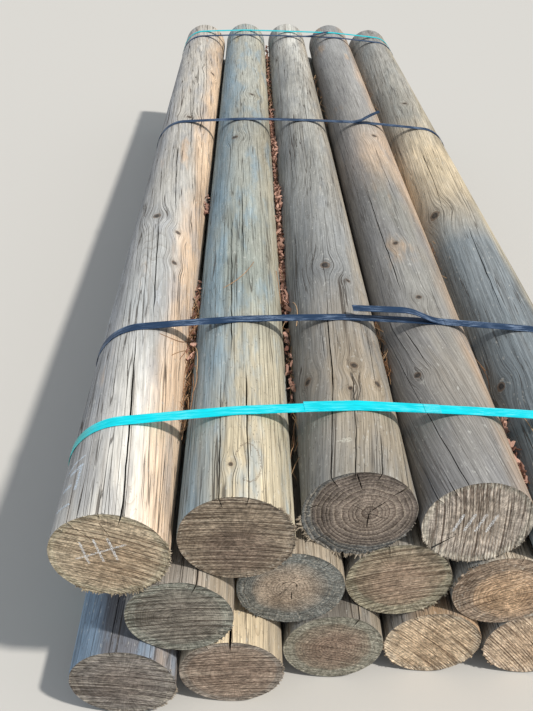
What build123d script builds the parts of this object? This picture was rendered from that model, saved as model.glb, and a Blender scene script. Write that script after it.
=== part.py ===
from build123d import *
from math import atan2, cos, degrees, hypot, radians, sin, sqrt, tan
import os

# Stack of peeled pine logs: five on the floor, four in the hollows between them and
# five on top, bound by five plastic straps. X runs across the stack, Y along the logs
# from their front ends, Z up. The origin is the middle of the footprint, on the floor.

# Logs, each row from left to right
log_length = 2700.0
bottom_front_diameters = [159.0, 159.0, 160.0, 157.0, 158.0]
bottom_back_diameters = [158.0, 160.0, 164.0, 163.0, 159.0]
middle_front_diameters = [155.0, 162.0, 162.0, 156.0]
middle_back_diameters = [153.0, 162.0, 166.0, 160.0]
top_front_diameters = [159.0, 160.0, 164.0, 161.0, 167.0]
top_back_diameters = [163.0, 159.0, 154.0, 163.0, 167.0]
bottom_starts = [-63.0, -40.0, 8.0, 23.0, 27.0]  # front ends, behind the stack's front line
middle_starts = [-43.0, 9.0, 33.0, 25.0]
top_starts = [-44.0, -19.0, 32.0, 29.0, 25.0]
saw_tilt = 0.6  # most that a sawn end leans off square, in degrees
lean_step = 2.4  # from one log to the next, in radians, so that no two sawn ends lean alike
turn_step = 1.7

# Gaps between logs
touch = 0.3  # where one log lies on another
bottom_front_gaps = [1.5, 0.5, 3.5, 7.5]
bottom_back_gaps = [4.0, 3.0, 3.0, 3.5]
shoulder_front_gaps = [5.5, 3.5]  # beside the first and the last log of the top row
shoulder_back_gaps = [6.5, 5.0]

# Straps
strap_width = 19.0
strap_thickness = 0.9
strap_slack = 0.3  # between a log and the strap drawn tight over it
weld_sink = 0.1  # how far a lapped end is pressed into the layer under it
left_skew_angle = 6.56  # a strap falls back towards the front by this, left of the middle, in degrees
right_skew_angle = 2.58  # and runs on towards the back by this, right of it
teal_front_place = 167.0  # from the stack's front line to the strap's middle
dark_front_place = 412.0
dark_middle_place = 118.0  # behind the middle of the logs' length
dark_back_place = 208.0  # before the logs' back ends
teal_back_place = 127.0

# Lap of the front teal strap, from over the second gap of the top row to its weld
teal_lap_start = -13.0  # right of the gap's middle
teal_lap_end = -31.0  # right of the fourth top log's middle

# Loose ends of the dark straps: welded down flat, then bent up off the strap
weld_length = 25.0
front_joint = 15.0  # right of the fourth top log's middle, tail to the left
front_tail = {
    "bend_radius": 90.0, "rise_angle": 20.0, "slope_length": 20.0, "level_angle": 22.0, "end_length": 85.0
}
middle_joint = -42.0  # right of the fourth top log's middle, tail to the right
middle_tail = {
    "bend_radius": 70.0, "rise_angle": 32.0, "slope_length": 20.0, "level_angle": 6.0, "end_length": 20.0
}
back_joint = 55.0  # right of the third top log's middle, tail to the right
back_tail = {
    "bend_radius": 150.0, "rise_angle": 16.0, "slope_length": 25.0, "level_angle": 4.0, "end_length": 20.0
}

bedding = strap_thickness + strap_slack  # the straps' undersides are on the floor
bearing_arc = 270.0  # of each outer log's circle, turned outwards, that the outline may use
margin = 5.0  # how far a trimming shape reaches past the strap that it trims
left_slope = tan(radians(left_skew_angle))
right_slope = tan(radians(right_skew_angle))


def beside(radius, neighbour, gap, way):
    """Centre of a log on the floor, left (-1) or right (1) of its neighbour."""
    x, z, other = neighbour
    step = sqrt((radius + other + gap) ** 2 - (radius - other) ** 2)
    return (x + way * step, bedding + radius, radius)


def meet(left, left_reach, right, right_reach):
    """Upper point that lies at the two reaches from two centres."""
    apart_x, apart_z = right[0] - left[0], right[1] - left[1]
    apart = hypot(apart_x, apart_z)
    along = (left_reach**2 - right_reach**2 + apart**2) / (2 * apart)
    up = sqrt(left_reach**2 - along**2)
    x = left[0] + (along * apart_x - up * apart_z) / apart
    z = left[1] + (along * apart_z + up * apart_x) / apart
    return x, z


def resting(left, right, radius):
    """Circle of a log that lies in the hollow between two others."""
    x, z = meet(left, left[2] + radius + touch, right, right[2] + radius + touch)
    return (x, z, radius)


def shoulder(below, neighbour, radius, gap, way):
    """Circle of an outer top log: on the one below, beside its neighbour."""
    on_below = below[2] + radius + touch
    off_neighbour = neighbour[2] + radius + gap
    if way < 0:
        x, z = meet(below, on_below, neighbour, off_neighbour)
    else:
        x, z = meet(neighbour, off_neighbour, below, on_below)
    return (x, z, radius)


def settled(left, right, radius, neighbour=None, way=0):
    """Circle in the hollow between two logs, or held out of it by its neighbour in the row."""
    circle = resting(left, right, radius)
    if neighbour is None:
        return circle
    if hypot(circle[0] - neighbour[0], circle[1] - neighbour[1]) >= radius + neighbour[2] + touch:
        return circle
    return shoulder(left if way < 0 else right, neighbour, radius, touch, way)


def pack(bottom, middle, top, floor_gaps, shoulder_gaps):
    """The circles (x, z, radius) of all three rows, packed from the floor up."""
    floor = [diameter / 2 for diameter in bottom]
    low_3 = (0.0, bedding + floor[2], floor[2])
    low_2 = beside(floor[1], low_3, floor_gaps[1], -1)
    low_4 = beside(floor[3], low_3, floor_gaps[2], 1)
    low_1 = beside(floor[0], low_2, floor_gaps[0], -1)
    low_5 = beside(floor[4], low_4, floor_gaps[3], 1)
    mid_2 = resting(low_2, low_3, middle[1] / 2)
    mid_3 = settled(low_3, low_4, middle[2] / 2, mid_2, 1)
    mid_1 = settled(low_1, low_2, middle[0] / 2, mid_2, -1)
    mid_4 = settled(low_4, low_5, middle[3] / 2, mid_3, 1)
    top_3 = resting(mid_2, mid_3, top[2] / 2)
    top_2 = settled(mid_1, mid_2, top[1] / 2, top_3, -1)
    top_4 = settled(mid_3, mid_4, top[3] / 2, top_3, 1)
    top_1 = shoulder(mid_1, top_2, top[0] / 2, shoulder_gaps[0], -1)
    top_5 = shoulder(mid_4, top_4, top[4] / 2, shoulder_gaps[1], 1)
    lower_rows = [low_1, low_2, low_3, low_4, low_5, mid_1, mid_2, mid_3, mid_4]
    return lower_rows + [top_1, top_2, top_3, top_4, top_5]


front_circles = pack(
    bottom_front_diameters,
    middle_front_diameters,
    top_front_diameters,
    bottom_front_gaps,
    shoulder_front_gaps,
)
back_circles = pack(
    bottom_back_diameters,
    middle_back_diameters,
    top_back_diameters,
    bottom_back_gaps,
    shoulder_back_gaps,
)
names = [f"log_bottom_{i}" for i in range(1, 6)]
names += [f"log_middle_{i}" for i in range(1, 5)]
names += [f"log_top_{i}" for i in range(1, 6)]
starts = dict(zip(names, bottom_starts + middle_starts + top_starts))
ends = dict(zip(names, zip(front_circles, back_circles)))


def circle_at(name, y):
    """A log's circle (x, z, radius) at y, which runs from the stack's front line."""
    front, back = ends[name]
    return tuple(a + (b - a) * y / log_length for a, b in zip(front, back))


# The logs: tapered rounds between two sawn ends, each end a little off square
pieces = {}
for number, name in enumerate(names):
    lean = tan(radians(saw_tilt)) * sin(lean_step * number)
    turn = tan(radians(saw_tilt)) * cos(turn_step * number)
    front = starts[name]
    with BuildPart() as log:
        for y, tilt_x, tilt_z in ((front, turn, lean), (front + log_length, lean, turn)):
            x, z, radius = circle_at(name, y)
            sawn = Plane(origin=(x, y, z), x_dir=(1, -tilt_x, 0), z_dir=(tilt_x, 1, tilt_z))
            with BuildSketch(sawn):
                Circle(radius)
        loft(ruled=True)
    pieces[name] = log.part


# The straps
outer_logs = ["log_bottom_1", "log_bottom_5"] + [f"log_top_{i}" for i in range(1, 6)]


def strap_y(place, x):
    """Where a strap's centre line runs at x, in plan."""
    return place + x * (left_slope if x < 0 else right_slope)


def crossed(place):
    """Circles of the outer logs where a strap crosses them."""
    return [circle_at(name, strap_y(place, circle_at(name, place)[0])) for name in outer_logs]


def tight_outline(circles, stand_off):
    """Outline drawn tight round the outer logs, standing off them evenly."""
    middle_x = sum(x for x, _, _ in circles) / len(circles)
    middle_z = sum(z for _, z, _ in circles) / len(circles)
    with BuildSketch() as outline:
        with BuildLine():
            for x, z, radius in circles:
                outward = degrees(atan2(z - middle_z, x - middle_x))
                start = outward - bearing_arc / 2
                CenterArc((x, z), radius + stand_off, start, bearing_arc)
        make_hull()
    return outline.sketch


def bridge(left, right, stand_off):
    """Unit normal and offset of the line laid over two circles: nx * x + nz * z = offset."""
    apart_x, apart_z = right[0] - left[0], right[1] - left[1]
    apart = hypot(apart_x, apart_z)
    lean = (left[2] - right[2]) / apart
    level = sqrt(1 - lean**2)
    normal_x = (apart_x * lean - apart_z * level) / apart
    normal_z = (apart_z * lean + apart_x * level) / apart
    offset = normal_x * left[0] + normal_z * left[1] + left[2] + stand_off
    return normal_x, normal_z, offset


def tail_plane(place, x, left, right, way):
    """Upright plane along a strap at x, its X running the way that the tail does."""
    normal_x, normal_z, offset = bridge(left, right, bedding - weld_sink)
    z = (offset - normal_x * x) / normal_z
    slope = left_slope if x < 0 else right_slope
    run = Vector(way * normal_z, way * slope * normal_z, -way * normal_x).normalized()
    across = run.cross(Vector(normal_x, 0, normal_z)).normalized()
    return Plane(origin=(x, strap_y(place, x), z), x_dir=run, z_dir=across)


def make_strap(place, lap=None, tail=None):
    """A closed loop round the stack, with its second layer or its loose end."""
    circles = crossed(place)
    reach = max(x + radius for x, _, radius in circles) + margin
    top = max(z + radius for _, z, radius in circles) + margin
    ring_depth = reach * (left_slope + right_slope) + strap_width
    section = Plane.XZ.offset(-place)
    with BuildPart() as strap:
        with BuildSketch(section):
            add(tight_outline(circles, bedding))
            add(tight_outline(circles, strap_slack), mode=Mode.SUBTRACT)
            if lap:
                with BuildSketch(mode=Mode.PRIVATE) as second:
                    add(tight_outline(circles, bedding + strap_thickness - weld_sink))
                    add(tight_outline(circles, bedding - weld_sink), mode=Mode.SUBTRACT)
                    with Locations(((lap[0] + lap[1]) / 2, top)):
                        Rectangle(lap[1] - lap[0], top, mode=Mode.INTERSECT)
                add(second.sketch)
        extrude(amount=ring_depth, both=True)
        with BuildSketch(Plane.XY.offset(-bedding)):
            with BuildLine():
                ThreePointArc(*[(x, strap_y(place, x)) for x in (-reach, 0, reach)])
            trace(line_width=strap_width)
        extrude(amount=top + 2 * bedding, dir=(0, 0, 1), mode=Mode.INTERSECT)
        if tail:
            joint_x, left, right, way, shape = tail
            with BuildSketch(tail_plane(place, joint_x, left, right, way)):
                with BuildLine():
                    flat = Line((-weld_length, 0), (0, 0))
                    bend = JernArc(flat @ 1, flat % 1, shape["bend_radius"], shape["rise_angle"])
                    slope = PolarLine(bend @ 1, shape["slope_length"], direction=bend % 1)
                    crest = JernArc(slope @ 1, slope % 1, shape["bend_radius"], -shape["level_angle"])
                    PolarLine(crest @ 1, shape["end_length"], direction=crest % 1)
                    offset(amount=strap_thickness, side=Side.LEFT)
                make_face()
            extrude(amount=strap_width / 2, both=True)
    return strap.part


def top_circle(number, place):
    return circle_at(f"log_top_{number}", place)


middle_place = log_length / 2 + dark_middle_place
gap_middle = (top_circle(2, teal_front_place)[0] + top_circle(3, teal_front_place)[0]) / 2
lap_span = (gap_middle + teal_lap_start, top_circle(4, teal_front_place)[0] + teal_lap_end)

pieces["strap_teal_front"] = make_strap(teal_front_place, lap=lap_span)
pieces["strap_dark_front"] = make_strap(
    dark_front_place,
    tail=(
        top_circle(4, dark_front_place)[0] + front_joint,
        top_circle(4, dark_front_place),
        top_circle(5, dark_front_place),
        -1,
        front_tail,
    ),
)
pieces["strap_dark_middle"] = make_strap(
    middle_place,
    tail=(
        top_circle(4, middle_place)[0] + middle_joint,
        top_circle(3, middle_place),
        top_circle(4, middle_place),
        1,
        middle_tail,
    ),
)
dark_back = log_length - dark_back_place
pieces["strap_dark_back"] = make_strap(
    dark_back,
    tail=(
        top_circle(3, dark_back)[0] + back_joint,
        top_circle(3, dark_back),
        top_circle(4, dark_back),
        1,
        back_tail,
    ),
)
pieces["strap_teal_back"] = make_strap(log_length - teal_back_place)

# Placing: the origin goes to the middle of the footprint
boxes = [piece.bounding_box() for piece in pieces.values()]
middle_x = (min(box.min.X for box in boxes) + max(box.max.X for box in boxes)) / 2
middle_y = (min(box.min.Y for box in boxes) + max(box.max.Y for box in boxes)) / 2
os.makedirs("parts", exist_ok=True)
for name, piece in pieces.items():
    placed = Pos(-middle_x, -middle_y, 0) * piece
    placed.label = name
    export_step(placed, f"parts/{name}.step")
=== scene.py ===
import math
import random

import bmesh
import bpy
from mathutils import Matrix, Vector, noise


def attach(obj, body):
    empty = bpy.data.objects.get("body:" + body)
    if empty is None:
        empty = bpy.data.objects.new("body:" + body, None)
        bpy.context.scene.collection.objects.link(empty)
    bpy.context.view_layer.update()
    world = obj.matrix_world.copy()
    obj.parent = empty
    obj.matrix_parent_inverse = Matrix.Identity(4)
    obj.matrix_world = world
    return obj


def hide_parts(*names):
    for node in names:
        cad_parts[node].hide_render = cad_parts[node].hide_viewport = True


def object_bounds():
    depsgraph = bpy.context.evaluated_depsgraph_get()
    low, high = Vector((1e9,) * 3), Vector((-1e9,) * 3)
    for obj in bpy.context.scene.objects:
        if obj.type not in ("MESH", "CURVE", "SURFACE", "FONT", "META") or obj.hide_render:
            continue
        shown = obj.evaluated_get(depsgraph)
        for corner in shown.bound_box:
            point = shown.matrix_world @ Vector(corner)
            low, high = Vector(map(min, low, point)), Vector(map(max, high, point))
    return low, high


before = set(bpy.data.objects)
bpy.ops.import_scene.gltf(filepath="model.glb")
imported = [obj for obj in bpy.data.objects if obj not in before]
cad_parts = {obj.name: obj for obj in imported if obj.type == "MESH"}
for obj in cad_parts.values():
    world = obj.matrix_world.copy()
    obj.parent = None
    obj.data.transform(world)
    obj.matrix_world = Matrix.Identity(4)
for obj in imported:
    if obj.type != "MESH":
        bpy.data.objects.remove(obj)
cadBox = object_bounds()
mm = 0.001
print("frame loaded")


def addObject(name, data):
    made = bpy.data.objects.new(name, data)
    bpy.context.scene.collection.objects.link(made)
    return made


# Camera, fitted to the photo
cameraLook = {
    "place": (-0.2008, -2.0294, 1.1359),
    "pitch": 35.27,  # down
    "yaw": 4.03,  # towards +X
    "roll": 5.57,
    "lens": 38.29,
    "sensor": 36.0,
}


def makeCamera(look):
    pitch, yaw, roll = (math.radians(look[key]) for key in ("pitch", "yaw", "roll"))
    forward = Vector((math.sin(yaw) * math.cos(pitch), math.cos(yaw) * math.cos(pitch), -math.sin(pitch)))
    right = forward.cross(Vector((0, 0, 1))).normalized()
    up = right.cross(forward)
    across = math.cos(roll) * right + math.sin(roll) * up
    upright = math.cos(roll) * up - math.sin(roll) * right
    data = bpy.data.cameras.new("camera")
    data.lens = look["lens"]
    data.sensor_width = look["sensor"]
    camera = addObject("camera", data)
    turned = Matrix((across, upright, -forward)).transposed().to_4x4()
    camera.matrix_world = Matrix.Translation(look["place"]) @ turned
    bpy.context.scene.camera = camera


# Light: a soft high lamp in front of the stack to the right, and an even pale sky
lightLook = {
    "lampFrom": (0.55, -0.30, 0.95),
    "lampStrength": 2.75,
    "lampAngle": 3.5,
    "lampColour": (1.0, 0.95, 0.87),
    "skyColour": (0.90, 0.95, 1.0),
    "skyStrength": 0.48,
}


def makeLight(look):
    lamp = bpy.data.lights.new("softSun", "SUN")
    lamp.energy = look["lampStrength"]
    lamp.angle = math.radians(look["lampAngle"])
    lamp.color = look["lampColour"]
    sun = addObject("softSun", lamp)
    sun.rotation_euler = Vector(look["lampFrom"]).to_track_quat("Z", "Y").to_euler()
    world = bpy.data.worlds.new("paleSky")
    world.use_nodes = True
    sky = world.node_tree.nodes["Background"]
    sky.inputs["Color"].default_value = (*look["skyColour"], 1)
    sky.inputs["Strength"].default_value = look["skyStrength"]
    bpy.context.scene.world = world


# Node helpers. A Wire is a node's output that can be reckoned with: each sign adds a Math node to its tree
class Wire:
    def __init__(self, socket):
        self.socket = socket
        self.tree = socket.id_data

    def __add__(self, other):
        return calc("ADD", self, other)

    def __radd__(self, other):
        return calc("ADD", other, self)

    def __sub__(self, other):
        return calc("SUBTRACT", self, other)

    def __rsub__(self, other):
        return calc("SUBTRACT", other, self)

    def __mul__(self, other):
        return calc("MULTIPLY", self, other)

    def __rmul__(self, other):
        return calc("MULTIPLY", other, self)

    def __truediv__(self, other):
        return calc("DIVIDE", self, other)

    def __rtruediv__(self, other):
        return calc("DIVIDE", other, self)

    def __pow__(self, other):
        return calc("POWER", self, other)

    def __abs__(self):
        return calc("ABSOLUTE", self)


def plug(value, socket):
    if isinstance(value, Wire):
        value.tree.links.new(value.socket, socket)
    else:
        socket.default_value = value


def addNode(kind, values, *pins, **settings):
    # a node in the tree of the first wire among its values, plugged into the pins, or into its first ones
    tree = next(value.tree for value in values if isinstance(value, Wire))
    node = tree.nodes.new("ShaderNode" + kind)
    for key, setting in settings.items():
        setattr(node, key, setting)
    for pin, value in zip(pins or range(len(values)), values):
        plug(value, node.inputs[pin])
    return node


def calc(operation, *values, clamp=False):
    return Wire(addNode("Math", values, operation=operation, use_clamp=clamp).outputs[0])


def vectorCalc(operation, *values):
    # SCALE takes a vector and a number
    pins = ("Vector", "Scale") if operation == "SCALE" else ()
    node = addNode("VectorMath", values, *pins, operation=operation)
    return Wire(node.outputs["Value" if operation in ("LENGTH", "DOT_PRODUCT", "DISTANCE") else "Vector"])


def combine(x, y, z):
    return Wire(addNode("CombineXYZ", (x, y, z)).outputs[0])


def parts(vector):
    return [Wire(socket) for socket in addNode("SeparateXYZ", (vector,)).outputs]


def noiseAt(place, scale, detail=3.0, rough=0.5, bend=0.0):
    pins = ("Vector", "Scale", "Detail", "Roughness", "Distortion")
    return Wire(addNode("TexNoise", (place, scale, detail, rough, bend), *pins).outputs[0])


def stepAt(value, low, high, toLow=0.0, toHigh=1.0):
    values = (value, low, high, toLow, toHigh)
    return Wire(addNode("MapRange", values, interpolation_type="SMOOTHSTEP").outputs[0])


def mixAt(factor, first, second, how="MIX"):
    node = addNode("Mix", (factor, first, second), "Factor", "A", "B", data_type="RGBA", blend_type=how)
    return Wire(node.outputs["Result"])


def shade(colour, factor, tint):
    # colour darkened towards tint times itself
    return mixAt(factor, colour, mixAt(1.0, colour, (*tint, 1), "MULTIPLY"))


def gain(colour, value):
    return mixAt(1.0, colour, combine(value, value, value), "MULTIPLY")


def startGroup(name, inputs, outputs):
    # inputs and outputs list the sockets' names by kind: Float, Vector or Color
    tree = bpy.data.node_groups.new(name, "ShaderNodeTree")
    for sockets, way in ((inputs, "INPUT"), (outputs, "OUTPUT")):
        for kind, labels in sockets.items():
            for label in labels.split():
                tree.interface.new_socket(name=label, in_out=way, socket_type="NodeSocket" + kind)
    given = tree.nodes.new("NodeGroupInput").outputs
    return tree, wires(given), tree.nodes.new("NodeGroupOutput").inputs


def wires(sockets):
    return {socket.name: Wire(socket) for socket in sockets}


def useGroup(group, **values):
    return wires(addNode("Group", values.values(), *values, node_tree=group).outputs)


def readSpace(tree, name, output="Vector"):
    node = tree.nodes.new("ShaderNodeAttribute")
    node.attribute_name = name
    return Wire(node.outputs[output])


def objectPlace(tree):
    return Wire(tree.nodes.new("ShaderNodeTexCoord").outputs["Object"])


def scaled(place, x, y, z, seed):
    # a place stretched for a pattern, and moved on by the log's own seed
    moved = vectorCalc("SCALE", (3.1, 1.7, 2.3), seed)
    return vectorCalc("ADD", vectorCalc("MULTIPLY", place, (x, y, z)), moved)


# Shared effects. A tint darkens the wood that it falls on, and a tone covers it
finishTints = {
    "stripe": (0.50, 0.42, 0.36), "wave": (0.48, 0.43, 0.38), "knotRing": (0.36, 0.29, 0.24),
    "stain": (0.52, 0.48, 0.44), "lateWood": (0.26, 0.21, 0.18), "sawMark": (0.24, 0.19, 0.16),
    "groove": (0.42, 0.35, 0.30), "weldEdge": (0.35, 0.35, 0.35),
}
# opening is near-black painted shade down in open checks and cracks
finishTones = {
    "opening": (0.022, 0.016, 0.012, 1), "hairline": (0.050, 0.036, 0.026, 1), "speck": (0.07, 0.06, 0.05, 1),
    "bloom": (0.72, 0.72, 0.68, 1), "knot": (0.21, 0.145, 0.10, 1), "knotHeart": (0.026, 0.020, 0.018, 1),
    "earlyWood": (0.66, 0.56, 0.44, 1), "rawFibre": (0.86, 0.77, 0.62, 1), "crumb": (0.72, 0.66, 0.56, 1),
    "shake": (0.05, 0.035, 0.025, 1), "edge": (0.60, 0.50, 0.38, 1), "chalk": (0.90, 0.92, 0.95, 1),
}


def makeKnotGroup():
    inputs = {"Float": "Around Along KnotAround KnotAlong Size"}
    tree, given, out = startGroup("knotMark", inputs, {"Float": "Mask Ring Bend"})
    off = given["Around"] - given["KnotAround"]
    on = (given["Along"] - given["KnotAlong"]) * 0.75
    wobble = noiseAt(combine(given["Around"], given["Along"], 0.0), 160.0, 2)
    reach = calc("SQRT", off * off + on * on)
    share = reach / given["Size"]
    rough = share + (wobble - 0.5) * 0.3
    body = stepAt(rough, 0.34, 0.58, 0.5, 0.0)
    plug(body + stepAt(rough, 0.16, 0.34, 0.5, 0.0), out["Mask"])
    turns = calc("FRACT", rough * 4.5) ** 2.0
    near = calc("EXPONENT", share * share * -1.6)
    plug(turns * near, out["Ring"])
    fall = calc("EXPONENT", share * share * -0.4)
    plug(off * fall * -0.8, out["Bend"])
    return tree


def makeWoodGroup():
    # the peeled side of a log: mottled tone, cool left and warm right flanks (partly weathering, partly
    # painted shade and painted sunlight), grain, fibres, hairline checks, grime, a darker underside and
    # painted shade in checks
    inputs = {
        "Vector": "Place Outward",
        "Color": "Tone Cool Warm Patch",
        "Float": "Seed PatchShare Mottle Waves Stripes Hairlines Knot Ring Slit Grime Fibres CoolShare",
    }
    tree, given, out = startGroup("peeledWood", inputs, {"Color": "Color", "Float": "Height Rough"})
    place, seed = given["Place"], given["Seed"]

    def pattern(across, along, shift=0.0, detail=3.0, rough=0.55, bend=0.0):
        moved = seed + shift if shift else seed
        return noiseAt(scaled(place, across, along, across, moved), 1.0, detail, rough, bend)

    sideX, _, sideZ = parts(given["Outward"])
    # the left flank takes the cool colour and the right flank the warm one: partly weathering, partly painted
    # shade from the sky on the left and painted sunlight on the right
    wander = (pattern(16, 2.4, 3.0, 4) - 0.5) * 1.1
    leftward = stepAt(wander - sideX, 0.15, 0.95)
    rightward = stepAt(wander + sideX, 0.2, 0.85)
    colour = mixAt(leftward * given["CoolShare"], given["Tone"], given["Cool"])
    colour = mixAt(rightward * 0.75, colour, given["Warm"])
    cloud = stepAt(pattern(30, 5.5, 11.0, 4, 0.62), 0.46, 0.66) * given["CoolShare"]
    colour = mixAt(cloud * 0.56, colour, given["Cool"])
    blot = pattern(14, 2.6, 4.0, 4, 0.62)
    edge = 0.76 - given["PatchShare"] * 0.4
    blotted = stepAt(blot, edge, edge + 0.14)
    colour = mixAt(blotted * 0.85, colour, given["Patch"])
    broad = pattern(11, 1.5, 0.0, 5, 0.62) - 0.5
    colour = gain(colour, 1.0 + broad * given["Mottle"])
    stripe = pattern(85, 1.7, 6.0, 3, 0.6)
    striped = stepAt(stripe, 0.53, 0.7) * given["Stripes"]
    colour = shade(colour, striped, finishTints["stripe"])
    fibre = pattern(330, 6, 0.0, 3, 0.6)
    fine = pattern(950, 22, 0.0, 2, 0.6)
    fibred = calc("MULTIPLY_ADD", stepAt(fibre, 0.26, 0.74, -0.36, 0.28), given["Fibres"], 1.0)
    colour = gain(colour, fibred)
    colour = gain(colour, stepAt(fine, 0.3, 0.72, 0.8, 1.16))
    field = pattern(12, 1.3, 0.0, 1.0, 0.4, 0.15)
    line = calc("FRACT", field * 34.0) ** 5.0
    shown = stepAt(pattern(18, 3, 9.0, 2), 0.4, 0.6)
    waved = line * shown * given["Waves"]
    colour = shade(colour, waved, finishTints["wave"])
    hair = pattern(46, 0.85, 0.0, 2, 0.5)
    hairLine = stepAt(abs(hair - 0.5), 0.002, 0.01, 1.0, 0.0)
    broken = stepAt(pattern(26, 3.4, 1.0, 2), 0.42, 0.52)
    wide = pattern(95, 1.8, 2.0, 2, 0.5)
    wideLine = stepAt(abs(wide - 0.5), 0.004, 0.016, 0.8, 0.0)
    apart = stepAt(pattern(34, 4.5, 7.0, 2), 0.46, 0.56)
    cracks = calc("MAXIMUM", hairLine * broken, wideLine * apart) * given["Hairlines"]
    colour = mixAt(cracks * 0.85, colour, finishTones["hairline"])
    speck = pattern(260, 120, 0.0, 3, 0.7)
    speckled = stepAt(speck, 0.59, 0.7) * given["Grime"]
    colour = mixAt(speckled, colour, finishTones["speck"])
    bloom = stepAt(pattern(190, 60, 5.0, 3, 0.65), 0.6, 0.72, 0.0, 0.45)
    colour = mixAt(bloom, colour, finishTones["bloom"])
    colour = shade(colour, given["Ring"] * 0.9, finishTints["knotRing"])
    knotTone = mixAt(stepAt(given["Knot"], 0.36, 0.72), finishTones["knot"], finishTones["knotHeart"])
    colour = mixAt(stepAt(given["Knot"], 0.0, 0.6, 0.0, 0.8), colour, knotTone)
    # darker towards the underside: partly dirt, partly painted shade
    colour = gain(colour, stepAt(sideZ, -0.8, 0.5, 0.62, 1.0))
    # painted shade, near black, down in the open checks
    colour = mixAt(stepAt(given["Slit"], 0.02, 0.5), colour, finishTones["opening"])
    plug(colour, out["Color"])
    height = fibre * 0.55 + fine * 0.3 - waved * 0.3 - striped * 0.3 - cracks * 1.3
    plug(height - given["Ring"] * 0.4, out["Height"])
    plug(stepAt(fibre, 0.2, 0.8, 0.92, 0.74), out["Rough"])
    return tree


def makeSawnGroup():
    # a sawn end: growth rings about the pith, arced saw marks, shakes, pores, a weathered rim and painted
    # shade in its cracks
    inputs = {
        "Vector": "Place",
        "Color": "Heart Sap Rim",
        "Float": "Seed PithX PithZ RingStep RingDepth SawTurn SawRate SawDepth Radius Star Stain RimWidth "
                 "LeanX LeanZ Groove Pitch Slit",
    }
    tree, given, out = startGroup("sawnEnd", inputs, {"Color": "Color", "Float": "Height"})
    place, seed = given["Place"], given["Seed"]

    def spots(scale, detail, rough=0.5, shift=0.0):
        moved = seed + shift if shift else seed
        return noiseAt(scaled(place, scale, 0, scale, moved), 1.0, detail, rough)

    x, _, z = parts(place)
    offX = x - given["PithX"]
    offZ = z - given["PithZ"]
    reach = vectorCalc("LENGTH", combine(offX, 0.0, offZ))
    ripple = spots(30, 3)
    beat = noiseAt(combine(reach * 45.0, seed, 0.0), 1.0, 1)
    warp = (ripple - 0.5) * 0.01 + beat * 0.019
    ring = calc("FRACT", (reach + warp) / given["RingStep"])
    late = ring ** 2.6 * stepAt(ripple, 0.3, 0.6, 0.5, 1.0)
    early = (1.0 - ring) ** 5.0
    share = vectorCalc("LENGTH", combine(x, 0.0, z)) / given["Radius"]
    inward = reach / given["Radius"]
    spread = (ripple - 0.5) * 0.35
    colour = mixAt(stepAt(inward + spread, 0.3, 0.85), given["Heart"], given["Sap"])
    edge = 1.0 - given["RimWidth"]
    lean = x * given["LeanX"] + z * given["LeanZ"]
    leant = share + lean / given["Radius"]
    rimmed = stepAt(leant + spread * 0.5, edge - 0.05, edge + 0.05)
    colour = mixAt(rimmed * 0.85, colour, given["Rim"])
    stained = stepAt(spots(22, 4, 0.62, 5.0), 0.48, 0.66) * given["Stain"]
    colour = shade(colour, stained, finishTints["stain"])
    ringed = late * given["RingDepth"]
    colour = shade(colour, ringed, finishTints["lateWood"])
    pale = early * given["RingDepth"] * 0.42
    colour = mixAt(pale, colour, finishTones["earlyWood"])
    cosine, sine = calc("COSINE", given["SawTurn"]), calc("SINE", given["SawTurn"])
    across = x * cosine + z * sine
    beside = z * cosine - x * sine
    arc = across + beside * beside * 0.8
    rate = arc * given["SawRate"]
    broad = noiseAt(combine(rate, beside * 3.0, seed), 1.0, 2, 0.5)
    thin = noiseAt(combine(rate * 2.3, beside * 7.0, seed), 1.0, 2, 0.6)
    mark = broad * 0.42 + thin * 0.58
    marked = stepAt(mark, 0.505, 0.415) * given["SawDepth"]
    colour = shade(colour, marked, finishTints["sawMark"])
    bright = stepAt(mark, 0.53, 0.62) * given["SawDepth"]
    colour = mixAt(bright * 0.6, colour, mixAt(0.5, given["Sap"], finishTones["rawFibre"]))
    wave = calc("SINE", across / given["Pitch"] * math.tau)
    cut = stepAt(spots(16, 2), 0.36, 0.6, 0.25, 1.0)
    grooved = stepAt(wave, 0.1, 0.8) * cut * given["Groove"]
    colour = shade(colour, grooved, finishTints["groove"])
    drawn = beside * (330.0 - given["SawDepth"] * 310.0)
    pores = noiseAt(combine(across * 350.0, drawn, seed), 1.0, 4, 0.7)
    colour = gain(colour, stepAt(pores, 0.32, 0.66, 0.54, 1.42))
    colour = gain(colour, stepAt(spots(62, 4, 0.65, 2.0), 0.34, 0.64, 0.8, 1.2))
    crumbs = stepAt(spots(240, 2, 0.6, 9.0), 0.6, 0.68) * rimmed * 0.55
    colour = mixAt(crumbs, colour, finishTones["crumb"])
    angle = calc("ARCTAN2", offX, offZ)
    rays = noiseAt(combine(angle * 26.0, reach * 60.0, seed), 1.0, 2)
    colour = gain(colour, stepAt(rays, 0.3, 0.7, 0.78, 1.2))
    shake = noiseAt(combine(angle * 2.2, reach * 9.0, seed), 1.0, 1, 0.4)
    opened = 0.0011 * (0.03 / (reach + 0.004))
    split = stepAt(abs(shake - 0.5), opened, opened * 4.0, 0.85, 0.0)
    split = split * stepAt(inward, 0.75, 0.25) * given["Star"]
    colour = mixAt(split, colour, finishTones["shake"])
    colour = gain(colour, stepAt(share, 0.955, 1.0, 1.0, 0.76))
    colour = mixAt(stepAt(share, 0.995, 1.02, 0.0, 0.6), colour, finishTones["edge"])
    # painted shade, near black, down in the cracks
    colour = mixAt(stepAt(given["Slit"], 0.03, 0.42), colour, finishTones["opening"])
    plug(colour, out["Color"])
    plug(pores * 0.55 - ringed * 0.7 - marked * 0.9 - split, out["Height"])
    return tree


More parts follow.
